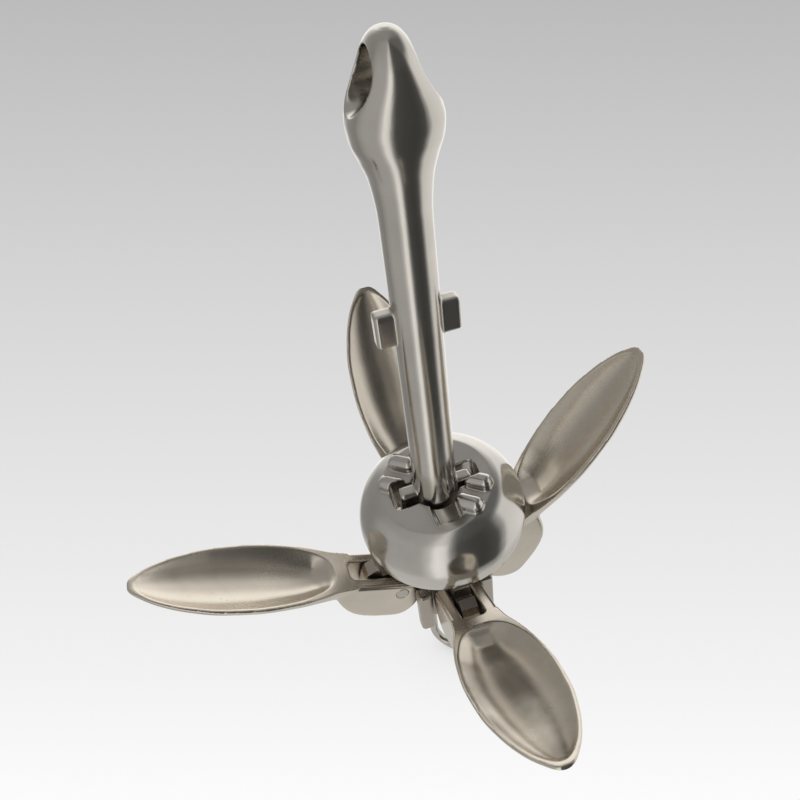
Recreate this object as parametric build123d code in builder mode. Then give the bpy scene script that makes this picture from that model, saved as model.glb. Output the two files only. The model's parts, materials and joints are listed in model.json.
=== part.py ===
from build123d import *
import os

# Folding grapnel anchor with four flukes and a sliding locking collar, in mm.
# Z points up along the shank and the origin is the centre of the shackle eye, whose
# bore runs along X.  Shank, collar, crown and bow heights are given above the crown
# datum (the collar's lower rim when it is down); level() lowers them by EYE_H.
os.makedirs("parts", exist_ok=True)

EYE_H = 271.5          # shackle eye centre above the crown datum

# Sizes shared by several pieces
BAR_LOW = -14.0        # shoulder of the shank, sitting on the crown hub
TENON_R = 8.0
TENON_LOW = -46.0
CROWN_LOW = -64.0      # underside of the crown hub
PIVOT_R = 31.5         # hinge pin distance from the shank axis
PIVOT_H = -35.8
PIN_R = 4.0
FORK_HALF = 14.4       # outside of the fork arms
BOW_R = 13.6           # half the spacing of the tripping bow's legs
BOW_WIRE_R = 2.8
BOW_SOCKET = 6.0       # depth of the bow's sockets in the crown


def level(height):
    """Z of a height above the crown datum."""
    return height - EYE_H


def lowered(points):
    """Turn (radius, height above datum) points into (radius, z)."""
    return [(radius, level(height)) for radius, height in points]


def save(piece, name):
    piece.label = name
    export_step(piece, f"parts/{name}.step")


# ---------------------------------------------------------------- shank
SHANK_R = 12.2         # round bar
BAR_TOP = 203.0        # end of the straight bar, start of the head flare
TENON_CHAMFER = 1.0
EYE_R = 12.3           # shackle eye bore
EYE_CUT = 30.0         # reach of the eye cut each way, past the head
LUG_R = 21.5           # outer radius of the locking lugs
LUG_W = 8.6            # tangential width of a lug
LUG_H = 19.0           # height of a lug
LUG_SIDE_FILLET = 1.6
LUG_END_FILLET = 1.4
LUG_LEVELS = (28.0, 152.5)    # centre heights of the two pairs

# Height, half thickness along the eye axis (X), half width across it (Y)
HEAD = [
    (BAR_TOP, SHANK_R, SHANK_R), (212.0, 12.35, 12.35), (221.0, 13.1, 13.1),
    (230.0, 14.3, 14.3), (239.0, 17.3, 16.2), (247.0, 19.9, 18.0),
    (253.5, 20.3, 19.0), (261.0, 18.8, 19.6), (269.0, 15.4, 19.3),
    (276.0, 12.0, 17.6), (282.0, 9.4, 14.3), (286.5, 7.2, 10.0),
    (289.4, 4.2, 5.2),
]

with BuildPart() as shank:
    with BuildSketch(Plane.XY.offset(level(BAR_LOW))):
        Circle(SHANK_R)
    extrude(amount=BAR_TOP - BAR_LOW)
    with BuildSketch(Plane.XY.offset(level(BAR_LOW))):
        Circle(TENON_R)
    extrude(amount=TENON_LOW - BAR_LOW)
    chamfer(shank.edges().group_by(Axis.Z)[0], TENON_CHAMFER)
    # pear-shaped head
    for height, half_x, half_y in HEAD:
        with BuildSketch(Plane.XY.offset(level(height))):
            Ellipse(half_x, half_y)
    loft()
    # shackle eye through the head
    with BuildSketch(Plane.YZ):
        Circle(EYE_R)
    extrude(amount=EYE_CUT, both=True, mode=Mode.SUBTRACT)
    # locking lugs, two on each side of the bar
    with BuildPart(mode=Mode.PRIVATE) as lug:
        Box(LUG_R, LUG_W, LUG_H, align=(Align.MIN, Align.CENTER, Align.CENTER))
        fillet(lug.edges().filter_by(Axis.X), LUG_SIDE_FILLET)
        fillet(lug.faces().sort_by(Axis.X)[-1].edges(), LUG_END_FILLET)
    for height in LUG_LEVELS:
        with Locations((0, 0, level(height))):
            with PolarLocations(0, 2):
                add(lug.part)
save(shank.part, "shank")

# ---------------------------------------------------------------- collar
RIM_R = 50.0
RIM_BEVEL = 0.9        # outer bevel of the lower rim
LIP_BEVEL = 0.6        # inner bevel of the lower rim
DOME_R = 50.5          # widest ring of the skirt
DOME_H = 8.0
TOP_H = 35.35
TOP_R = 32.6
SHELL = 3.6
BORE_R = 14.0          # loose on the bar, so the collar can lean and shed grit
HUB_R = 29.5
HUB_LOW = 15.0
CEILING_H = 31.4       # inside of the flat top
KEY_IN = 6.0           # inner end of the keyways, inside the bore
KEY_OUT = 26.0         # outer end of the keyways
KEY_W = 15.0
KEY_CORNER = 4.0
KEY_CUT = 40.0         # cut height, from KEY_BELOW under the hub up past the ridges
KEY_BELOW = 5.0
POCKET_D = 3.2         # depth of the two blind pockets
POCKET_CUT = 20.0
CRADLE_TURN = -40.0    # lug rests sit this far round from the eye axis
CRADLE_IN = 15.4
CRADLE_OUT = 31.6
CRADLE_W = 9.4         # width of the lug rest between two ridges
RIDGE_W = 7.0
RIDGE_H = 6.4
RIDGE_SUNK = 1.0       # overlap of the ridges with the top
RIDGE_CORNER = 2.2
RIDGE_FILLET = 1.5

# Radius, height
SKIRT_OUTSIDE = [
    (TOP_R, TOP_H), (38.6, 32.3), (44.2, 27.0), (48.3, 19.0),
    (DOME_R, DOME_H), (RIM_R, RIM_BEVEL),
]
SKIRT_INSIDE = [
    (RIM_R - SHELL, LIP_BEVEL), (DOME_R - SHELL, DOME_H), (45.0, 17.6),
    (41.6, 24.4), (36.8, 29.2), (31.6, CEILING_H), (HUB_R, CEILING_H),
]
RIM = [
    SKIRT_OUTSIDE[-1], (RIM_R - RIM_BEVEL, 0),
    (RIM_R - SHELL + LIP_BEVEL, 0), SKIRT_INSIDE[0],
]
HUB = [
    SKIRT_INSIDE[-1], (HUB_R, HUB_LOW), (BORE_R, HUB_LOW), (BORE_R, TOP_H),
]

with BuildPart() as collar:
    # thin domed skirt with a flat top and a bored hub
    with BuildSketch(Plane.XZ):
        with BuildLine():
            Line(*lowered([(BORE_R, TOP_H), (TOP_R, TOP_H)]))
            Spline(*lowered(SKIRT_OUTSIDE))
            Polyline(*lowered(RIM))
            Spline(*lowered(SKIRT_INSIDE))
            Polyline(*lowered(HUB))
        make_face()
    revolve(axis=Axis.Z)
    # two raised lug rests on the top face, each a pair of ridges
    with BuildPart(mode=Mode.PRIVATE) as ridge:
        with Locations((CRADLE_IN, 0, 0)):
            Box(CRADLE_OUT - CRADLE_IN, RIDGE_W, RIDGE_H + RIDGE_SUNK,
                align=(Align.MIN, Align.CENTER, Align.MIN))
        fillet(ridge.edges().filter_by(Axis.Z), RIDGE_CORNER)
        fillet(ridge.faces().sort_by(Axis.Z)[-1].edges(), RIDGE_FILLET)
    ridge_offset = (CRADLE_W + RIDGE_W) / 2
    for turn in (CRADLE_TURN, CRADLE_TURN + 180):
        with Locations(Location((0, 0, level(TOP_H) - RIDGE_SUNK), (0, 0, turn))):
            with Locations((0, ridge_offset, 0), (0, -ridge_offset, 0)):
                add(ridge.part)
    # two keyways right through for the lugs, cut through the ridges' corners too
    with BuildSketch(Plane.XY.offset(level(HUB_LOW - KEY_BELOW))):
        with PolarLocations((KEY_OUT + KEY_IN) / 2, 2):
            RectangleRounded(KEY_OUT - KEY_IN, KEY_W, KEY_CORNER)
    extrude(amount=KEY_CUT, mode=Mode.SUBTRACT)
    # two shallow pockets of the same outline, a quarter turn from the keyways
    with BuildSketch(Plane.XY.offset(level(TOP_H - POCKET_D))):
        with PolarLocations((KEY_OUT + KEY_IN) / 2, 2, start_angle=90):
            RectangleRounded(KEY_OUT - KEY_IN, KEY_W, KEY_CORNER)
    extrude(amount=POCKET_CUT, mode=Mode.SUBTRACT)
save(collar.part, "collar")

# ---------------------------------------------------------------- crown
CROWN_R = 16.6         # hub radius
CROWN_TOP_BEVEL = 1.4
CROWN_LOW_BEVEL = 2.0
TONGUE_W = 10.0
LOBE_IN = 14.9         # inner faces of the corner lobes, beside the fork arms
LOBE_OUT = 24.0
LOBE_CORNER = 2.6
LOBE_FILLET = 2.0
LOBE_DROP = 3.0        # lobes hang this far below the hub
LOBE_H = 33.0
NECK_MID = 13.2        # x and y of a neck's centre
NECK_W = 8.0
NECK_H = 26.0
PIN_DRILL = 14.0       # drill length, through a tongue
SOCKET_CLEAR = 40.0    # height kept clear above the shank socket's floor

# Radius, height
CROWN_HUB = [
    (TENON_R, BAR_LOW), (CROWN_R - CROWN_TOP_BEVEL, BAR_LOW),
    (CROWN_R, BAR_LOW - CROWN_TOP_BEVEL), (CROWN_R, CROWN_LOW + CROWN_LOW_BEVEL),
    (CROWN_R - CROWN_LOW_BEVEL, CROWN_LOW), (0, CROWN_LOW),
    (0, TENON_LOW), (TENON_R, TENON_LOW), (TENON_R, BAR_LOW),
]
# Tongue from the side: inner land, groove and knob, then the nose, then the underside
TONGUE_TOP = [
    (12.5, -18.5), (35.0, -20.2), (36.6, -25.2), (40.2, -25.2), (41.0, -20.6),
    (43.0, -18.6), (48.6, -21.2), (51.0, -25.0), (53.2, -33.0),
]
TONGUE_NOSE = [TONGUE_TOP[-1], (48.4, -48.6), (38.0, -55.0)]
TONGUE_UNDER = [TONGUE_NOSE[-1], (12.5, -55.6), TONGUE_TOP[0]]

with BuildPart() as crown:
    with BuildSketch(Plane.XZ):
        with BuildLine():
            Polyline(*lowered(CROWN_HUB))
        make_face()
    revolve(axis=Axis.Z)
    # four hinge tongues
    with BuildPart(mode=Mode.PRIVATE) as tongue:
        with BuildSketch(Plane.XZ):
            with BuildLine():
                Polyline(*lowered(TONGUE_TOP))
                ThreePointArc(*lowered(TONGUE_NOSE))
                Polyline(*lowered(TONGUE_UNDER))
            make_face()
        extrude(amount=TONGUE_W / 2, both=True)
    with PolarLocations(0, 4):
        add(tongue.part)
    # four corner lobes between the forks, each on a short neck from the hub
    with BuildPart(mode=Mode.PRIVATE) as lobe:
        with BuildSketch(Plane.XY.offset(level(CROWN_LOW - LOBE_DROP))):
            with Locations(((LOBE_IN + LOBE_OUT) / 2, (LOBE_IN + LOBE_OUT) / 2)):
                RectangleRounded(LOBE_OUT - LOBE_IN, LOBE_OUT - LOBE_IN, LOBE_CORNER)
        extrude(amount=LOBE_H)
        fillet(lobe.faces().sort_by(Axis.Z)[-1].edges(), LOBE_FILLET)
        fillet(lobe.faces().sort_by(Axis.Z)[0].edges(), LOBE_FILLET)
        with BuildSketch(Plane.XY.offset(level(CROWN_LOW))):
            with Locations((NECK_MID, NECK_MID)):
                Rectangle(NECK_W, NECK_W)
        extrude(amount=NECK_H)
    with PolarLocations(0, 4):
        add(lobe.part)
    # sockets for the ends of the tripping bow
    with Locations(Location((0, 0, level(CROWN_LOW)), (0, 0, -45))):
        with Locations((BOW_R, 0, 0), (-BOW_R, 0, 0)):
            Cylinder(BOW_WIRE_R, BOW_SOCKET,
                     align=(Align.CENTER, Align.CENTER, Align.MIN), mode=Mode.SUBTRACT)
    # pin holes, tight on the pins
    with BuildPart(mode=Mode.PRIVATE) as drill:
        with Locations(Location((PIVOT_R, 0, level(PIVOT_H)), (90, 0, 0))):
            Cylinder(PIN_R, PIN_DRILL)
    with PolarLocations(0, 4):
        add(drill.part, mode=Mode.SUBTRACT)
    # keep the shank socket clear
    with BuildSketch(Plane.XY.offset(level(TENON_LOW))):
        Circle(TENON_R)
    extrude(amount=SOCKET_CLEAR, mode=Mode.SUBTRACT)
save(crown.part, "crown")

# ---------------------------------------------------------------- tripping eye
# Round wire bow let into the underside of the crown, in line with two opposite lobes
BOW_H = -119.0         # centre of the bottom bend
bow_end = level(CROWN_LOW + BOW_SOCKET)
bend_z = level(BOW_H)

with BuildPart() as trip_eye:
    with BuildLine(Plane((0, 0, 0), x_dir=(1, -1, 0), z_dir=(-1, -1, 0))) as bow:
        Line((-BOW_R, bow_end), (-BOW_R, bend_z))
        ThreePointArc((-BOW_R, bend_z), (0, level(BOW_H - BOW_R)), (BOW_R, bend_z))
        Line((BOW_R, bend_z), (BOW_R, bow_end))
    with BuildSketch(Plane(bow.line @ 0, z_dir=bow.line % 0)):
        Circle(BOW_WIRE_R)
    sweep()
save(trip_eye.part, "trip_eye")

# ---------------------------------------------------------------- fluke blank
# Local axes: X along the fluke from its hinge pin, Y across, Z out of the spoon.
RIM_N = 7.0            # spoon rim above the pivot line
TIP_X = 158.5
DISH_ABOVE = 2.0       # the dish cutter stands this far above the rim
FORK_FILLET = 1.6
SLOT_HALF = 6.8        # half width of the fork slot
SLOT_START = -30.0     # behind the heel, so the slot is open there
SLOT_END = 32.5
SLOT_CORNER = 3.0
SLOT_CUT = 60.0        # cut height, centred on the pivot line
PIN_HOLE_R = PIN_R + 0.05     # running clearance in the forks
PIN_BORE_CUT = 40.0

# Distance from the pin, half width, underside height, rim height
SPOON = [
    (30.0, 14.2, -12.0, RIM_N), (40.0, 15.6, -9.4, RIM_N), (52.0, 19.2, -6.6, 6.9),
    (68.0, 22.8, -5.2, 6.6), (90.0, 24.8, -5.0, 6.0), (110.0, 23.8, -4.6, 5.4),
    (128.0, 20.1, -3.6, 4.8), (143.0, 14.6, -2.0, 4.3), (153.0, 8.6, -0.2, 4.0),
    (TIP_X, 3.6, 1.2, 3.8),
]
# The same columns for the hollow, with its floor height third
DISH = [
    (44.0, 8.0, 5.6, RIM_N), (52.0, 14.6, -0.6, 6.9), (68.0, 19.2, -2.2, 6.6),
    (90.0, 21.4, -2.1, 6.0), (110.0, 20.4, -1.7, 5.4), (128.0, 16.7, -0.8, 4.8),
    (143.0, 11.2, 0.9, 4.3), (152.5, 5.4, 2.8, 4.0),
]
# Shape of a section: (share of half width, share of depth) at its side and its bilge
SPOON_CURVE = ((0.93, 0.45), (0.62, 0.84))
DISH_CURVE = ((0.93, 0.36), (0.60, 0.82))


def bowl(half_width, low, top, curve, above=0.0):
    """Spline points of a section, from its +Y rim under to its -Y rim."""
    half = [(half_width, top + above)]
    for across, down in curve:
        half.append((half_width * across, top - (top - low) * down))
    return half + [(0, low)] + [(-y, z) for y, z in reversed(half)]


with BuildPart() as blank:
    # closed spoon, flat above and rounded below
    for x, half_width, low, top in SPOON:
        points = bowl(half_width, low, top, SPOON_CURVE)
        with BuildSketch(Plane.YZ.offset(x)):
            with BuildLine():
                Line(points[-1], points[0])
                Spline(*points)
            make_face()
    loft()
    # hollow of the spoon
    with BuildPart(mode=Mode.PRIVATE) as dish:
        for x, half_width, low, top in DISH:
            points = bowl(half_width, low, top, DISH_CURVE, DISH_ABOVE)
            with BuildSketch(Plane.YZ.offset(x)):
                with BuildLine():
                    Line(points[-1], points[0])
                    Spline(*points)
                make_face()
        loft()
    add(dish.part, mode=Mode.SUBTRACT)
    # deep fork arms with a round heel
    with BuildPart(mode=Mode.PRIVATE) as fork:
        with BuildSketch(Plane.XZ):
            with BuildLine():
                Line((-5.5, RIM_N), (42.0, RIM_N))
                Line((42.0, RIM_N), (43.0, 1.0))
                Spline((43.0, 1.0), (39.0, -6.0), (32.0, -14.0), (21.0, -19.6), (8.0, -21.2))
                Line((8.0, -21.2), (-0.5, -21.2))
                ThreePointArc((-0.5, -21.2), (-11.4, -15.4), (-13.6, -4.0))
                ThreePointArc((-13.6, -4.0), (-11.6, 3.6), (-5.5, RIM_N))
            make_face()
        extrude(amount=FORK_HALF, both=True)
        # round the side outlines, except the short edge at the spoon end
        fillet(fork.edges().filter_by(lambda e: abs(e.center().Y) > FORK_HALF - 0.1
                                      and e.center().X < 40), FORK_FILLET)
    add(fork.part)
    # slot for the crown tongue
    with BuildSketch(Plane.XY.offset(-SLOT_CUT / 2)):
        with Locations(((SLOT_END + SLOT_START) / 2, 0)):
            RectangleRounded(SLOT_END - SLOT_START, 2 * SLOT_HALF, SLOT_CORNER)
    extrude(amount=SLOT_CUT, mode=Mode.SUBTRACT)
    # hinge pin bore
    with BuildSketch(Plane.XZ):
        Circle(PIN_HOLE_R)
    extrude(amount=PIN_BORE_CUT, both=True, mode=Mode.SUBTRACT)

# ---------------------------------------------------------------- pin blank
# Plain hinge pin with rounded ends almost flush with the fork, local Y along the pin
PIN_PROUD = 0.1
PIN_FILLET = 0.6

with BuildPart() as pin_blank:
    with BuildSketch(Plane.XZ):
        Circle(PIN_R)
    extrude(amount=FORK_HALF + PIN_PROUD, both=True)
    fillet(pin_blank.edges().filter_by(GeomType.CIRCLE), PIN_FILLET)

# ---------------------------------------------------------------- flukes and pins
# Side: azimuth from +X, resting angle of the fluke above horizontal, in degrees
FLUKES = {
    "front": (-90.0, 25.5),
    "right": (0.0, 52.8),
    "back": (90.0, 51.4),
    "left": (180.0, 22.9),
}


def hinge(azimuth, angle):
    """Hinge pin frame turned to an azimuth and raised by an angle."""
    return (Location((0, 0, 0), (0, 0, azimuth))
            * Location((PIVOT_R, 0, level(PIVOT_H)), (0, -angle, 0)))


for side, (azimuth, rest) in FLUKES.items():
    with BuildPart() as fluke:
        with Locations(hinge(azimuth, rest)):
            add(blank.part)
    save(fluke.part, f"fluke_{side}")

    with BuildPart() as pin:
        with Locations(hinge(azimuth, 0)):
            add(pin_blank.part)
    save(pin.part, f"pin_{side}")
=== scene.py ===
# Folding anchor: an upright shank, a loose collar round it and four spoon-shaped flukes on pins.
# The shank runs along Z, with the shackle eye bored along X through the origin. The front faces
# -Y and the right +X. Shapes are built in mm and scaled to metres when they are finished;
# the stage, lights and material textures are in metres.
import bpy, bmesh, json, math
import numpy as np
from mathutils import Matrix, Vector


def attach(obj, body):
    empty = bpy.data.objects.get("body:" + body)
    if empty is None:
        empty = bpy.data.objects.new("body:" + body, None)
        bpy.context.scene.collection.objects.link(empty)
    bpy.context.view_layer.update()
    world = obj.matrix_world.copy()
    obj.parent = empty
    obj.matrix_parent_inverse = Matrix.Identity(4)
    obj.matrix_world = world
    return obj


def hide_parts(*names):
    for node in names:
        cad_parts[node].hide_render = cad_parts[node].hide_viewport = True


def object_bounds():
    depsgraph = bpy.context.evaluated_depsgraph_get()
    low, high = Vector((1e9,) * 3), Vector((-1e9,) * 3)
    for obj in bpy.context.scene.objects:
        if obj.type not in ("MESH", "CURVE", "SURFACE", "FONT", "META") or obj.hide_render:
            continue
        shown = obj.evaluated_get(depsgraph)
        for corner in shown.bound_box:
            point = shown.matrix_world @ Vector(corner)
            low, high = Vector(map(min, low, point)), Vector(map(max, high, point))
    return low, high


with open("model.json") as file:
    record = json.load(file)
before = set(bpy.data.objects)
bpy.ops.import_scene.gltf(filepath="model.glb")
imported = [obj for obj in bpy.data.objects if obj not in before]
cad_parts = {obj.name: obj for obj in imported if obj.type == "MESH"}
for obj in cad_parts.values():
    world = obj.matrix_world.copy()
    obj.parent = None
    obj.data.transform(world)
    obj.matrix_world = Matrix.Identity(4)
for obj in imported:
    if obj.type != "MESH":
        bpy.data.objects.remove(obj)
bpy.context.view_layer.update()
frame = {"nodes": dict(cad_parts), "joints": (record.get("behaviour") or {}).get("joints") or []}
MM = 0.001
EYE_HEIGHT = 271.5    # from the crown datum up to the origin


def level(height):
    """z of a height above the crown datum"""
    return height - EYE_HEIGHT


# ------------------------------------------------------------------ mesh helpers
def link_object(name, mesh):
    ob = bpy.data.objects.new(name, mesh)
    bpy.context.scene.collection.objects.link(ob)
    return ob


def object_from_bmesh(name, bm):
    mesh = bpy.data.meshes.new(name)
    bm.to_mesh(mesh)
    bm.free()
    return link_object(name, mesh)


def object_from_faces(name, verts, faces):
    mesh = bpy.data.meshes.new(name)
    mesh.from_pydata([tuple(v) for v in verts], [], [tuple(f) for f in faces])
    mesh.validate()
    bm = bmesh.new()
    bm.from_mesh(mesh)
    bmesh.ops.remove_doubles(bm, verts=bm.verts, dist=1e-5)
    bmesh.ops.recalc_face_normals(bm, faces=bm.faces)
    bm.to_mesh(mesh)
    bm.free()
    return link_object(name, mesh)


def circle_angles(count):
    return np.linspace(0, 2 * math.pi, count, endpoint=False)


def tube(name, rings):
    """closed rings of equal length joined one after another, with both ends capped"""
    n = len(rings[0])
    verts = [point for ring in rings for point in ring]
    faces = []
    for i in range(len(rings) - 1):
        a, b = i * n, (i + 1) * n
        for k in range(n):
            k2 = (k + 1) % n
            faces.append((a + k, a + k2, b + k2, b + k))
    faces.append(tuple(range(n))[::-1])
    last = (len(rings) - 1) * n
    faces.append(tuple(range(last, last + n)))
    return object_from_faces(name, verts, faces)


def spin(name, profile, steps):
    """closed profile of (radius, z) pairs turned about Z into a ring-shaped solid"""
    m = len(profile)
    verts, faces = [], []
    for k in range(steps):
        angle = 2 * math.pi * k / steps
        for r, z in profile:
            verts.append((r * math.cos(angle), r * math.sin(angle), z))
    for k in range(steps):
        k2 = (k + 1) % steps
        for i in range(m):
            i2 = (i + 1) % m
            faces.append((k * m + i, k2 * m + i, k2 * m + i2, k * m + i2))
    return object_from_faces(name, verts, faces)


def prism(name, outline, y0, y1):
    """closed (x, z) outline pulled along Y"""
    n = len(outline)
    verts = [(x, y0, z) for x, z in outline] + [(x, y1, z) for x, z in outline]
    faces = [tuple(range(n)), tuple(range(2 * n - 1, n - 1, -1))]
    faces += [(k, k + n, (k + 1) % n + n, (k + 1) % n) for k in range(n)]
    return object_from_faces(name, verts, faces)


def rod(name, radius, length, axis, centre=(0, 0, 0)):
    bm = bmesh.new()
    bmesh.ops.create_cone(bm, cap_ends=True, segments=96, radius1=radius, radius2=radius,
                          depth=length)
    ob = object_from_bmesh(name, bm)
    turn = Vector((0, 0, 1)).rotation_difference(Vector(axis))
    ob.data.transform(Matrix.Translation(centre) @ turn.to_matrix().to_4x4())
    return ob


def block(name, size, bevel, segments, placement):
    """box with rounded edges and corners, moved by the placement matrix"""
    bm = bmesh.new()
    bmesh.ops.create_cube(bm, size=1.0)
    bmesh.ops.scale(bm, vec=size, verts=bm.verts)
    bmesh.ops.bevel(bm, geom=list(bm.edges) + list(bm.verts), offset=bevel, segments=segments,
                    profile=0.5, affect="EDGES", clamp_overlap=True)
    ob = object_from_bmesh(name, bm)
    ob.data.transform(placement)
    return ob


def add_modifier(ob, name, kind, **settings):
    modifier = ob.modifiers.new(name, kind)
    for key, value in settings.items():
        setattr(modifier, key, value)


def bake(ob):
    """replaces the mesh with its modified form"""
    graph = bpy.context.evaluated_depsgraph_get()
    graph.update()
    mesh = bpy.data.meshes.new_from_object(ob.evaluated_get(graph))
    old = ob.data
    ob.modifiers.clear()
    ob.data = mesh
    bpy.data.meshes.remove(old)


def volume(ob):
    bm = bmesh.new()
    bm.from_mesh(ob.data)
    result = abs(bm.calc_volume())
    bm.free()
    return result


def boolean(ob, tool, operation):
    """joins or cuts; a solver that loses the solid is dropped for the next,
    and if none keeps it the script stops"""
    before, tool_volume = volume(ob), volume(tool)
    if operation == "UNION":
        low, high = before * 0.999, before + tool_volume
    else:
        low, high = max(before - tool_volume, 0.4 * before), before
    original = ob.data.copy()
    tried = []
    for solver in ("EXACT", "MANIFOLD"):
        ob.data = original.copy()
        add_modifier(ob, "b", "BOOLEAN", operation=operation, solver=solver, object=tool)
        bake(ob)
        after = volume(ob)
        tried.append("%s %.0f" % (solver, after))
        if low * 0.999 <= after <= high * 1.001:
            break
    else:
        raise RuntimeError("boolean with %s on %s lost the solid: %.0f -> %s mm3"
                           % (tool.name, ob.name, before, ", ".join(tried)))
    bpy.data.meshes.remove(original)
    tool_mesh = tool.data
    bpy.data.objects.remove(tool)
    bpy.data.meshes.remove(tool_mesh)


def cast(ob, voxel, smooth):
    """turns joined solids into one skin with the soft inside corners of a casting"""
    before = volume(ob)
    add_modifier(ob, "r", "REMESH", mode="VOXEL", voxel_size=voxel, adaptivity=0.0)
    bake(ob)
    add_modifier(ob, "s", "SMOOTH", factor=0.5, iterations=smooth)
    bake(ob)
    if not 0.85 * before < volume(ob) < 1.15 * before:
        raise RuntimeError("the skin of %s doesn't hold its solid's volume: %.0f -> %.0f mm3"
                           % (ob.name, before, volume(ob)))


def install(ob, part, material, rides):
    """scales a finished skin to metres, dresses it and puts it in place of its CAD part"""
    ob.name = ob.data.name = part + "_skin"
    ob.data.transform(Matrix.Scale(MM, 4))
    bm = bmesh.new()
    bm.from_mesh(ob.data)
    bmesh.ops.recalc_face_normals(bm, faces=bm.faces)
    bm.to_mesh(ob.data)
    bm.free()
    ob.data.materials.clear()
    ob.data.materials.append(material)
    for polygon in ob.data.polygons:
        polygon.use_smooth = True
    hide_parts(part)
    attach(ob, rides)


def curve_at(table, x, column):
    """smooth curve through a table column without overshoot (Hermite with limited slopes);
    beyond the ends it holds the end values"""
    xs = np.array([row[0] for row in table], float)
    ys = np.array([row[column] for row in table], float)
    rise = np.diff(ys) / np.diff(xs)
    slope = np.zeros(len(xs))
    slope[0], slope[-1] = rise[0], rise[-1]
    for i in range(1, len(xs) - 1):
        if rise[i - 1] * rise[i] > 0:
            h0, h1 = xs[i] - xs[i - 1], xs[i + 1] - xs[i]
            w1, w2 = 2 * h1 + h0, h1 + 2 * h0
            slope[i] = (w1 + w2) / (w1 / rise[i - 1] + w2 / rise[i])
    i = int(np.clip(np.searchsorted(xs, x) - 1, 0, len(xs) - 2))
    h = xs[i + 1] - xs[i]
    t = min(1.0, max(0.0, (x - xs[i]) / h))
    return float((2 * t**3 - 3 * t**2 + 1) * ys[i] + (t**3 - 2 * t**2 + t) * h * slope[i]
                 + (-2 * t**3 + 3 * t**2) * ys[i + 1] + (t**3 - t**2) * h * slope[i + 1])


# ------------------------------------------------------------------ shader helpers
class Graph:
    """adds nodes to the tree of a material or world"""

    def __init__(self, owner):
        owner.use_nodes = True
        self.tree = owner.node_tree

    def add(self, kind, inputs=None, **settings):
        """new node; an input is either a socket to link or a plain value"""
        node = self.tree.nodes.new("ShaderNode" + kind)
        for key, value in settings.items():
            setattr(node, key, value)
        for key, value in (inputs or {}).items():
            if isinstance(value, bpy.types.NodeSocket):
                self.tree.links.new(value, node.inputs[key])
            else:
                node.inputs[key].default_value = value
        return node

    def calc(self, operation, a, b):
        return self.add("Math", {0: a, 1: b}, operation=operation).outputs[0]

    def noise(self, vector, scale, detail, roughness):
        return self.add("TexNoise", {"Vector": vector, "Scale": scale, "Detail": detail,
                                     "Roughness": roughness}).outputs["Fac"]

    def ramp(self, source, stops, interpolation="LINEAR"):
        """colour ramp through rising (position, colour) stops"""
        node = self.add("ValToRGB", {"Fac": source})
        node.color_ramp.interpolation = interpolation
        elements = node.color_ramp.elements
        elements[0].position, elements[1].position = stops[0][0], stops[-1][0]
        for position, _ in stops[1:-1]:
            elements.new(position)
        for element, (_, colour) in zip(elements, stops):
            element.color = (*colour, 1)
        return node.outputs["Color"]

    def mix(self, factor, a, b):
        return self.add("Mix", {"Factor": factor, "A": a, "B": b},
                        data_type="RGBA").outputs["Result"]

    def bump(self, height, distance, strength, normal=None, invert=False):
        inputs = {"Height": height, "Distance": distance, "Strength": strength}
        if normal:
            inputs["Normal"] = normal
        return self.add("Bump", inputs, invert=invert).outputs["Normal"]


def new_material(name):
    material = bpy.data.materials.new(name)
    graph = Graph(material)
    graph.tree.nodes.clear()
    return material, graph


# ------------------------------------------------------------------ metals
BLACK, WHITE = (0, 0, 0), (1, 1, 1)
# brown tint and reach of the painted shade that darkens corners and hollows
CORNER_SHADE_COLOUR = (0.11, 0.085, 0.065, 1)
PIT_COLOUR = (0.20, 0.17, 0.14, 1)
CORNER_SHADE_REACH = 0.006
HAIRLINES = [    # rotation, scale of a stretched noise
    ((0.3, 0.5, 0.2), (30, 2400, 900)),
    ((1.1, 0.1, 0.9), (1500, 26, 2100)),
]
# depth of the relief, m
WAVE_DEPTH, SCRATCH_DEPTH, PIT_DEPTH = 0.0006, 0.000015, 0.00012


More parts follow.
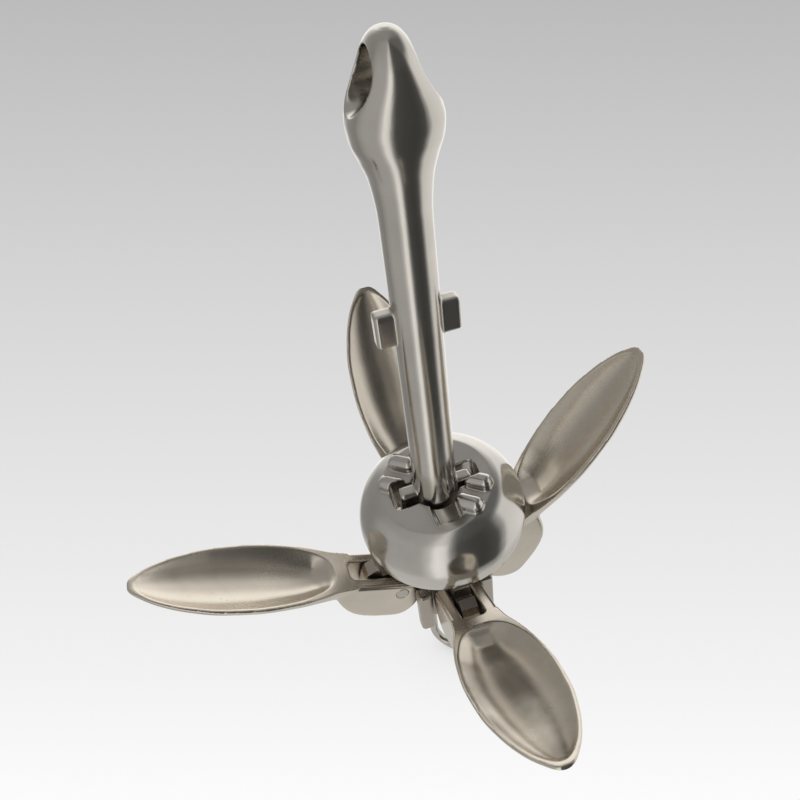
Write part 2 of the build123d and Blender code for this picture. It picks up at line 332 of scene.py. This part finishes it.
def steel(name, base, roughness, spread, scratches, pits, corner_shade_strength, wave):
    """stainless steel: tone and sheen drift, hairline scratches, casting pits, painted shade in
    corners. spread is the drift in roughness; the last four are the strengths of each mark"""
    material, g = new_material(name)
    position = g.add("TexCoord").outputs["Object"]
    cloudy = g.noise(position, scale=38.0, detail=5.0, roughness=0.55)
    fine = g.noise(position, scale=520.0, detail=3.0, roughness=0.6)

    lines = []
    for rotation, scale in HAIRLINES:
        stretched = g.add("Mapping", {"Vector": position, "Rotation": rotation, "Scale": scale})
        lines.append(g.noise(stretched.outputs["Vector"], scale=1.0, detail=2.0, roughness=0.5))
    line = g.calc("ADD", *lines)

    # pits at the cell centres, only in some patches
    cells = g.add("TexVoronoi", {"Vector": position, "Scale": 260.0}).outputs["Distance"]
    patches = g.ramp(g.noise(position, scale=55.0, detail=2.0, roughness=0.5),
                     [(0.50, BLACK), (0.62, WHITE)])
    pit = g.calc("MULTIPLY", g.ramp(cells, [(0.06, WHITE), (0.15, BLACK)]), patches)

    tone = g.ramp(cloudy, [(0.32, tuple(c * 0.93 for c in base)),
                           (0.70, tuple(min(1, c * 1.05) for c in base))])
    # painted shade: where ambient occlusion finds corners and hollows, the colour is darkened to a
    # brown tint and broken up by blotches
    open_sky = g.add("AmbientOcclusion", {"Distance": CORNER_SHADE_REACH}, samples=6).outputs["AO"]
    corners = g.ramp(open_sky, [(0.22, WHITE), (0.85, BLACK)])
    blotches = g.noise(position, scale=160.0, detail=4.0, roughness=0.6)
    corner_shade = g.calc("MULTIPLY", corners, g.calc("ADD", blotches, 0.35))
    corner_shade = g.calc("MULTIPLY", corner_shade, corner_shade_strength)
    colour = g.mix(corner_shade, tone, CORNER_SHADE_COLOUR)
    colour = g.mix(g.calc("MULTIPLY", pit, pits), colour, PIT_COLOUR)

    # sheen: slow and fine drift, duller in the painted corner shade
    slow_drift = g.calc("MULTIPLY", g.calc("SUBTRACT", cloudy, 0.5), spread)
    fine_drift = g.calc("MULTIPLY", g.calc("SUBTRACT", fine, 0.5), spread * 0.6)
    dulling = g.calc("MULTIPLY", corner_shade, 0.35)
    sheen = g.calc("ADD", g.calc("ADD", slow_drift, fine_drift), dulling)
    sheen = g.calc("MAXIMUM", g.calc("ADD", sheen, roughness), 0.05)

    # relief: slow unevenness of hand polishing, hairlines, pits
    uneven = g.noise(position, scale=70.0, detail=1.0, roughness=0.4)
    normal = g.bump(uneven, WAVE_DEPTH, wave)
    normal = g.bump(line, SCRATCH_DEPTH, scratches, normal)
    normal = g.bump(pit, PIT_DEPTH, pits, normal, invert=True)
    surface = g.add("BsdfPrincipled", {"Base Color": colour, "Metallic": 1.0,
                                       "Roughness": sheen, "Normal": normal})
    g.add("OutputMaterial", {"Surface": surface.outputs["BSDF"]})
    return material


# the fourth strength sets how far each metal is darkened by painted shade in its corners
SHANK_STEEL = steel("polished_shank", base=(0.69, 0.66, 0.61), roughness=0.17, spread=0.10,
                    scratches=0.30, pits=0.12, corner_shade_strength=0.80, wave=0.16)
COLLAR_STEEL = steel("polished_collar", base=(0.70, 0.675, 0.635), roughness=0.16, spread=0.09,
                     scratches=0.25, pits=0.16, corner_shade_strength=0.85, wave=0.14)
CROWN_STEEL = steel("cast_crown", base=(0.52, 0.47, 0.41), roughness=0.25, spread=0.16,
                    scratches=0.35, pits=0.45, corner_shade_strength=0.95, wave=0.25)
FLUKE_STEEL = steel("satin_fluke", base=(0.77, 0.705, 0.61), roughness=0.25, spread=0.12,
                    scratches=0.35, pits=0.30, corner_shade_strength=0.85, wave=0.20)
PIN_STEEL = steel("pin_steel", base=(0.60, 0.56, 0.50), roughness=0.19, spread=0.12,
                  scratches=0.40, pits=0.18, corner_shade_strength=0.80, wave=0.10)
BOW_STEEL = steel("bow_wire", base=(0.64, 0.61, 0.57), roughness=0.21, spread=0.10,
                  scratches=0.50, pits=0.12, corner_shade_strength=0.60, wave=0.05)

# ------------------------------------------------------------------ shank
SHANK = [    # height, half width along X, half width along Y
    (-14.0, 12.2, 12.2), (190.0, 12.2, 12.2), (203.0, 12.2, 12.2), (212.0, 12.35, 12.35),
    (221.0, 13.1, 13.1), (230.0, 14.5, 14.3), (239.0, 17.3, 16.2), (247.0, 19.8, 18.0),
    (253.5, 20.3, 19.0), (261.0, 18.8, 19.5), (269.0, 15.5, 19.2), (276.0, 12.1, 17.6),
    (282.0, 9.4, 14.3), (286.5, 6.9, 9.7), (288.8, 4.3, 5.6), (289.7, 1.6, 2.0),
]
FOOT_CHAMFER = 0.8
EYE_R, EYE_FLAT, EYE_CUT_HALF = 12.3, 15.0, 26    # the eye flares beyond EYE_FLAT from the centre
LUG_SIZE, LUG_BEVEL = (13.5, 8.6, 19.0), 1.9
LUG_X, LUG_HEIGHTS = 14.75, (28.0, 152.5)
TENON_R, TENON_LENGTH, TENON_HEIGHT = 8.0, 34.0, -29.0


def shank_ring(h):
    a, b = curve_at(SHANK, h, 1), curve_at(SHANK, h, 2)
    if h <= -13.5:
        a, b = a - FOOT_CHAMFER, b - FOOT_CHAMFER
    # fuller than an ellipse round the eye, fading in below it and out at the top
    up = min(1.0, max(0.0, (h - 236.0) / 20.0))
    down = min(1.0, max(0.0, (289.5 - h) / 6.0))
    power = 2.0 / (2.0 + 0.35 * up * up * (3 - 2 * up) * down)
    return [(a * math.copysign(abs(math.cos(t)) ** power, math.cos(t)),
             b * math.copysign(abs(math.sin(t)) ** power, math.sin(t)), level(h))
            for t in circle_angles(160)]


def eye_cutter():
    """round bar along X that flares at both ends, for an eye with rolled edges"""
    rings = []
    for x in np.linspace(-EYE_CUT_HALF, EYE_CUT_HALF, 53):
        r = EYE_R + max(0.0, abs(x) - EYE_FLAT) ** 1.5 * 0.10
        rings.append([(x, r * math.cos(t), r * math.sin(t)) for t in circle_angles(128)])
    return tube("eye_cut", rings)


def build_shank():
    heights = [-14.0, -13.2] + list(np.arange(-10, 203, 3.0))
    heights += list(np.arange(203.5, 289.0, 0.7)) + [289.0, 289.3, 289.55, 289.7]
    shank = tube("shank_skin", [shank_ring(h) for h in heights])
    boolean(shank, eye_cutter(), "DIFFERENCE")
    for height in LUG_HEIGHTS:
        for side in (1, -1):
            place = Matrix.Translation((side * LUG_X, 0, level(height)))
            boolean(shank, block("lug", LUG_SIZE, LUG_BEVEL, 5, place), "UNION")
    tenon = rod("tenon", TENON_R, TENON_LENGTH, (0, 0, 1), (0, 0, level(TENON_HEIGHT)))
    boolean(shank, tenon, "UNION")
    cast(shank, voxel=0.45, smooth=9)
    install(shank, "shank", SHANK_STEEL, "anchor_body")


build_shank()

# ------------------------------------------------------------------ collar
COLLAR_TOP, BORE_R = 35.35, 14.0
HUB_R, HUB_LOW = 29.5, 15.0
DOME_OUTSIDE = [    # height, radius
    (0.9, 48.8), (4.0, 49.2), (8.0, 49.3), (13.0, 48.8), (19.0, 47.3), (24.0, 45.2),
    (28.6, 42.0), (31.8, 39.0), (33.8, 35.9), (34.9, 33.2),
]
DOME_INSIDE = [     # height, radius
    (0.9, 45.5), (8.0, 45.9), (17.6, 44.2), (24.4, 41.4), (29.2, 36.4), (31.2, 32.0),
]
COLLAR_FACE = [     # radius, height: the flat top, outwards
    (BORE_R + 0.8, COLLAR_TOP), (22.0, COLLAR_TOP), (30.0, COLLAR_TOP),
    (31.8, COLLAR_TOP - 0.05),
]
RIM_EDGE = [(48.2, 0.1), (47.2, 0.0), (46.0, 0.2)]    # radius, height
HUB = [             # radius, height: down the outside of the hub and up the bore
    (30.6, 31.4), (HUB_R, 30.6), (HUB_R, 24), (HUB_R, HUB_LOW + 1), (HUB_R - 1, HUB_LOW),
    (22.0, HUB_LOW), (BORE_R + 3.6, HUB_LOW), (BORE_R + 3.0, HUB_LOW + 0.8),
    (BORE_R + 1.6, 25), (BORE_R, COLLAR_TOP - 0.8),
]
# pairs of parallel ridges on the top face
RIDGE_SIZE, RIDGE_BEVEL = (16.2, 9.6, 9.4), 4.1
RIDGE_TURNS, RIDGE_X, RIDGE_Y, RIDGE_LIFT = (-40.0, 140.0), 23.5, 7.6, 1.7
# keyways and pockets; the nudge shifts the cutters slightly off the symmetry planes
KEY_R, KEY_WIDTH, KEY_LENGTH, KEYWAY_MID = 26.0, 15.0, 44.0, 28.0
KEYWAY_BEVEL, POCKET_BEVEL, POCKET_DEPTH = 3.4, 1.4, 3.2
KEY_NUDGE = (0.017, 0.013, 0.011)
LEAN_DEGREES, LEAN_AXIS_DEGREES, LEAN_HEIGHT = 9.5, -45, 34.0


def dome(table, start, end, count):
    """points along one face of the dome, between two rows of its table"""
    return [(curve_at(table, h, 1), h) for h in np.linspace(table[start][0], table[end][0], count)]


def lean_collar(collar):
    """the loose collar leans on the two raised flukes, within its play on the bar"""
    pivot = Vector((0, 0, level(LEAN_HEIGHT)))
    angle = math.radians(LEAN_AXIS_DEGREES)
    axis = Vector((math.cos(angle), math.sin(angle), 0))
    lean = Matrix.Rotation(math.radians(LEAN_DEGREES), 4, axis)
    collar.data.transform(Matrix.Translation(pivot) @ lean @ Matrix.Translation(-pivot))


def build_collar():
    profile = (COLLAR_FACE + dome(DOME_OUTSIDE, -1, 0, 60) + RIM_EDGE
               + dome(DOME_INSIDE, 0, -1, 40) + HUB)
    collar = spin("collar_skin", [(r, level(h)) for r, h in profile], 224)
    for turn in RIDGE_TURNS:
        for side in (1, -1):
            place = (Matrix.Rotation(math.radians(turn), 4, "Z")
                     @ Matrix.Translation((RIDGE_X, side * RIDGE_Y,
                                           level(COLLAR_TOP) + RIDGE_LIFT)))
            boolean(collar, block("ridge", RIDGE_SIZE, RIDGE_BEVEL, 8, place), "UNION")
    for k in range(4):
        # through keyways on the lug line, shallow pockets across it
        if k % 2 == 0:
            middle, bevel = KEYWAY_MID, KEYWAY_BEVEL
        else:
            middle, bevel = COLLAR_TOP - POCKET_DEPTH + KEY_LENGTH / 2, POCKET_BEVEL
        nudge_x, nudge_y, nudge_z = KEY_NUDGE
        place = (Matrix.Rotation(k * math.pi / 2, 4, "Z")
                 @ Matrix.Translation((KEY_R / 2 + nudge_x, nudge_y, level(middle) + nudge_z)))
        key = block("key", (KEY_R, KEY_WIDTH, KEY_LENGTH), bevel, 6, place)
        boolean(collar, key, "DIFFERENCE")
    cast(collar, voxel=0.5, smooth=9)
    lean_collar(collar)
    install(collar, "collar", COLLAR_STEEL, "collar")


build_collar()

# ------------------------------------------------------------------ flukes
# One form, with its pin along Y at the origin, the tip towards +X and the hollow facing +Z.
FORK_HALF, FORK_TOP, FORK_BEVEL = 14.4, 7.0, 2.6
SLOT_HALF, SLOT_END, SLOT_BACK, SLOT_HEIGHT, SLOT_BEVEL = 6.8, 32.5, 30.0, 70.0, 3.0
PIN_R, PIN_PLAY, BORE_LENGTH = 4.0, 0.12, 60
SPOON = [    # distance from pin, half width, underside, rim height
    (30.0, 14.2, -12.0, 7.0), (40.0, 15.6, -9.4, 7.0), (52.0, 19.2, -6.6, 6.9),
    (68.0, 22.8, -5.2, 6.6), (90.0, 24.8, -5.0, 6.0), (110.0, 23.8, -4.6, 5.4),
    (128.0, 20.1, -3.6, 4.8), (143.0, 14.6, -2.0, 4.3), (153.0, 8.6, -0.2, 4.0),
    (157.6, 4.6, 1.0, 3.9), (158.6, 2.6, 1.6, 3.6),
]
DISH = [     # distance from pin, half width, floor below the rim
    (41.0, 1.0, 0.0), (44.0, 8.6, 0.9), (48.0, 12.6, 4.0), (54.0, 16.0, 7.2), (68.0, 20.6, 8.7),
    (90.0, 22.9, 8.0), (110.0, 21.9, 7.0), (128.0, 18.2, 5.4), (143.0, 12.6, 3.4),
    (151.0, 7.2, 1.6), (155.5, 2.0, 0.0),
]
FORK_BELOW = [    # x, z: along the top to the spoon and back underneath to the heel
    (-5.5, FORK_TOP), (8, FORK_TOP), (24, FORK_TOP), (42.0, FORK_TOP), (44.5, 5.0), (44.0, 1.0),
    (42.0, -2.4), (39.0, -6.6), (35.6, -10.8), (32.0, -14.2), (27.0, -17.6), (21.0, -19.7),
    (14.0, -20.9), (8.0, -21.2), (3.0, -21.3), (-0.5, -21.2),
]
HEEL_X, HEEL_Z, HEEL_RX, HEEL_RZ = -0.5, -4.0, 13.1, 17.2    # elliptical heel
FORK_BACK = [     # x, z: from the heel up to the top
    (-13.6, -4.0), (-13.3, -0.6), (-12.3, 2.6), (-10.4, 5.2), (-8.0, 6.6),
]
ACROSS = 72    # points across the top of the spoon
FLUKES = [     # side, direction about Z, angle raised from level (degrees)
    ("front", -90.0, 25.5), ("right", 0.0, 52.8), ("back", 90.0, 51.4), ("left", 180.0, 22.9),
]


def spoon_ring(x):
    width, low, top = (curve_at(SPOON, x, k) for k in (1, 2, 3))
    dish_width, depth = curve_at(DISH, x, 1), curve_at(DISH, x, 2)
    ring = []
    # hollowed top, from -Y to +Y
    for t in np.linspace(-1, 1, ACROSS):
        y = width * t
        q = min(1.0, abs(y) / max(dish_width, 0.5))
        z = top - depth * (1 - q ** 2.7) ** 1.15 if q < 1 else top
        ring.append((x, y, z))
    # underside, back to -Y
    for t in np.linspace(0, math.pi, ACROSS + 1)[1:-1]:
        ring.append((x, width * math.cos(t), top - (top - low) * abs(math.sin(t)) ** 0.82))
    return ring


def build_fork():
    """fork arms with the round heel, before the slot is cut"""
    heel = []
    for t in np.linspace(92, 178, 12):
        angle = math.radians(t - 90)
        heel.append((HEEL_X - HEEL_RX * math.sin(angle), HEEL_Z - HEEL_RZ * math.cos(angle)))
    fork = prism("fork", FORK_BELOW + heel + FORK_BACK, -FORK_HALF, FORK_HALF)
    add_modifier(fork, "bev", "BEVEL", width=FORK_BEVEL, segments=5, limit_method="ANGLE",
                 angle_limit=math.radians(60))
    bake(fork)
    return fork


def build_fluke_form():
    stations = list(np.arange(30.0, 157.0, 0.8)) + [157.2, 157.8, 158.2, 158.6]
    fluke = tube("spoon", [spoon_ring(x) for x in stations])
    boolean(fluke, build_fork(), "UNION")
    slot = block("slot", (SLOT_END + SLOT_BACK, 2 * SLOT_HALF, SLOT_HEIGHT), SLOT_BEVEL, 6,
                 Matrix.Translation(((SLOT_END - SLOT_BACK) / 2, 0, 0)))
    boolean(fluke, slot, "DIFFERENCE")
    cast(fluke, voxel=0.45, smooth=8)
    boolean(fluke, rod("bore", PIN_R + PIN_PLAY, BORE_LENGTH, (0, 1, 0)), "DIFFERENCE")
    fluke.data.name = "fluke_form"
    return fluke


def build_flukes():
    form = build_fluke_form()
    joints = {joint["name"]: joint for joint in frame["joints"]}
    for side, direction, raised in FLUKES:
        part = "fluke_" + side
        pin = [v / MM for v in joints[part + "_fold"]["pos_m"]]
        mesh = form.data.copy()
        mesh.transform(Matrix.Translation(pin)
                       @ Matrix.Rotation(math.radians(direction), 4, "Z")
                       @ Matrix.Rotation(math.radians(-raised), 4, "Y"))
        install(link_object("tmp", mesh), part, FLUKE_STEEL, part)
    bpy.data.objects.remove(form)


build_flukes()

# ------------------------------------------------------------------ parts that keep their CAD skins
CAD_METALS = {"crown": CROWN_STEEL, "trip_eye": BOW_STEEL, "pin_front": PIN_STEEL,
              "pin_right": PIN_STEEL, "pin_back": PIN_STEEL, "pin_left": PIN_STEEL}
for part, metal in CAD_METALS.items():
    materials = frame["nodes"][part].data.materials
    materials.clear()
    materials.append(metal)
add_modifier(frame["nodes"]["crown"], "edge", "BEVEL", width=0.0013, segments=4,
             limit_method="ANGLE", angle_limit=math.radians(28))

# ------------------------------------------------------------------ stage (metres)
SURROUND = [    # direction about Z in degrees, brightness
    (-180, 0.44), (-140, 0.44), (-129, 0.60), (-119, 1.05), (-109, 0.95), (-101, 0.26),
    (-94, 0.08), (-62, 0.06), (-41, 0.08), (-31, 0.36), (-22, 0.78), (14, 0.85), (32, 0.85),
    (56, 1.15), (92, 1.15), (106, 0.62), (118, 0.32), (150, 0.28), (166, 0.38), (180, 0.44),
]
CEILING = [     # the same, overhead
    (-180, 0.38), (-138, 0.42), (-119, 0.78), (-109, 0.66), (-100, 0.20), (-92, 0.09),
    (-45, 0.08), (-22, 0.15), (12, 0.15), (38, 0.24), (62, 0.30), (100, 0.32), (140, 0.30),
    (180, 0.38),
]
CEILING_START, CEILING_FULL = 0.40, 0.78    # z of the direction where the ceiling takes over
FLOOR_HALF, FLOOR_GAP = 6.0, 0.0005
FLOOR_PAINTED_FALLOFF = [(0.0, 0.97), (0.2, 0.87), (1.0, 0.50)]    # height in the view, grey of a painted fall-off of light, bright near and darker far
# reach and depth of the painted contact shadow round the metal
CONTACT_REACH, CONTACT_SHADE = 0.05, 0.62
NEAR_FLOOR, FAR_FLOOR = 0.13, 0.22          # distance from Z where the painted reflection changes over
# glow of the pale near floor in the painted reflection, and the plain grey of its diffuse bounce
REFLECTED_FLOOR = (0.60, 0.595, 0.58, 1)
FLOOR_BOUNCE = (0.30, 0.295, 0.285, 1)


def surround(g, direction):
    """brightness of the studio in a direction: upright soft bands, fading to the ceiling"""
    split = g.add("SeparateXYZ", {0: direction}).outputs
    turn = g.add("MapRange", {"Value": g.calc("ARCTAN2", split["Y"], split["X"]),
                              "From Min": -math.pi, "From Max": math.pi}).outputs["Result"]

    def bands(table):
        stops = [((degrees + 180.0) / 360.0, (c, c * 0.99, c * 0.97)) for degrees, c in table]
        return g.ramp(turn, stops, "EASE")

    up = g.add("MapRange", {"Value": split["Z"], "From Min": CEILING_START,
                            "From Max": CEILING_FULL}, interpolation_type="SMOOTHSTEP")
    return g.mix(up.outputs["Result"], bands(SURROUND), bands(CEILING))


def floor_material():
    material, g = new_material("floor")
    # seen directly: a glowing grey with a painted fall-off of light, bright at the bottom of the
    # view and darker at the top, and a painted contact shadow close to the metal
    window = g.add("SeparateXYZ", {0: g.add("TexCoord").outputs["Window"]})
    painted_falloff = g.ramp(window.outputs["Y"], [(at, (grey,) * 3) for at, grey in FLOOR_PAINTED_FALLOFF])
    contact = g.add("AmbientOcclusion", {"Distance": CONTACT_REACH}, samples=8)
    shade = g.add("MapRange", {"Value": contact.outputs["AO"], "To Min": CONTACT_SHADE})
    seen = g.add("Emission", {"Color": painted_falloff, "Strength": shade.outputs["Result"]})

    # seen in the metal: painted reflection, the floor glows with the surround carried on below the
    # horizon and a pale patch close in
    geometry = g.add("NewGeometry").outputs
    outward = g.add("VectorMath", {0: geometry["Incoming"], "Scale": -1.0}, operation="SCALE")
    far = surround(g, outward.outputs["Vector"])
    flat = g.add("VectorMath", {0: geometry["Position"], 1: (1.0, 1.0, 0.0)},
                 operation="MULTIPLY")
    reach = g.add("VectorMath", {0: flat.outputs["Vector"]}, operation="LENGTH")
    near = g.add("MapRange", {"Value": reach.outputs["Value"], "From Min": NEAR_FLOOR,
                              "From Max": FAR_FLOOR}, interpolation_type="SMOOTHSTEP")
    painted_reflection = g.add("Emission", {"Color": g.mix(near.outputs["Result"], REFLECTED_FLOOR, far),
                                  "Strength": 1.0})

    bounce = g.add("BsdfDiffuse", {"Color": FLOOR_BOUNCE})
    ray = g.add("LightPath").outputs
    indirect = g.add("MixShader", {"Fac": ray["Is Glossy Ray"], 1: bounce.outputs[0],
                                   2: painted_reflection.outputs[0]})
    surface = g.add("MixShader", {"Fac": ray["Is Camera Ray"], 1: indirect.outputs[0],
                                  2: seen.outputs[0]})
    g.add("OutputMaterial", {"Surface": surface.outputs[0]})
    return material


def build_floor():
    low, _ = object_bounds()
    bm = bmesh.new()
    bmesh.ops.create_grid(bm, x_segments=2, y_segments=2, size=FLOOR_HALF)
    floor = object_from_bmesh("floor", bm)
    floor.location = (0, 0, low.z - FLOOR_GAP)
    floor.data.materials.append(floor_material())


def build_world():
    """the surround lights the metal; the camera sees plain grey"""
    world = bpy.data.worlds.new("studio")
    bpy.context.scene.world = world
    g = Graph(world)
    direction = g.add("TexCoord").outputs["Generated"]
    camera_ray = g.add("LightPath").outputs["Is Camera Ray"]
    colour = g.mix(camera_ray, surround(g, direction), (0.55, 0.55, 0.55, 1))
    background = g.tree.nodes["Background"]
    g.tree.links.new(colour, background.inputs["Color"])
    background.inputs["Strength"].default_value = 1.0


def area_light(name, location, size, power):
    """square light aimed at the lower shank, left out of reflections"""
    target = Vector((0, 0, level(60) * MM))
    light = bpy.data.lights.new(name, "AREA")
    light.shape, light.size, light.size_y, light.energy = "RECTANGLE", size, size, power
    ob = link_object(name, light)
    ob.location = location
    ob.rotation_mode = "QUATERNION"
    ob.rotation_quaternion = (target - Vector(location)).to_track_quat("-Z", "Y")
    ob.visible_glossy = False


build_floor()
build_world()
area_light("key", location=(-0.9, -1.1, 0.9), size=0.9, power=6)
area_light("top", location=(0.1, 0.3, 1.5), size=1.2, power=6)

# ------------------------------------------------------------------ camera
CAMERA_ELEVATION, CAMERA_TURN, CAMERA_ROLL = (math.radians(d) for d in (42.02, -14.09, -6.35))
CAMERA_DISTANCE, AIM_HEIGHT = 441.96, 102.58    # mm
SENSOR_WIDTH, LENS = 36.0, 38.39715             # mm
SHIFT_X, SHIFT_Y = -0.031925, -0.0036625        # share of the sensor width


def build_camera():
    turn, elevation, roll = CAMERA_TURN, CAMERA_ELEVATION, CAMERA_ROLL
    level_right = Vector((math.cos(turn), math.sin(turn), 0))
    back = Vector((math.sin(turn) * math.cos(elevation), -math.cos(turn) * math.cos(elevation),
                   math.sin(elevation)))
    level_up = back.cross(level_right)
    right = level_right * math.cos(roll) + level_up * math.sin(roll)
    up = -level_right * math.sin(roll) + level_up * math.cos(roll)
    data = bpy.data.cameras.new("cam")
    camera = link_object("cam", data)
    camera.rotation_mode = "QUATERNION"
    camera.location = (Vector((0, 0, level(AIM_HEIGHT))) + back * CAMERA_DISTANCE) * MM
    camera.rotation_quaternion = Matrix((right, up, back)).transposed().to_quaternion()
    data.sensor_width, data.lens = SENSOR_WIDTH, LENS
    data.shift_x, data.shift_y = SHIFT_X, SHIFT_Y
    data.clip_start, data.clip_end = 0.01, 50
    bpy.context.scene.camera = camera


build_camera()
bpy.context.scene.view_settings.view_transform = "Standard"
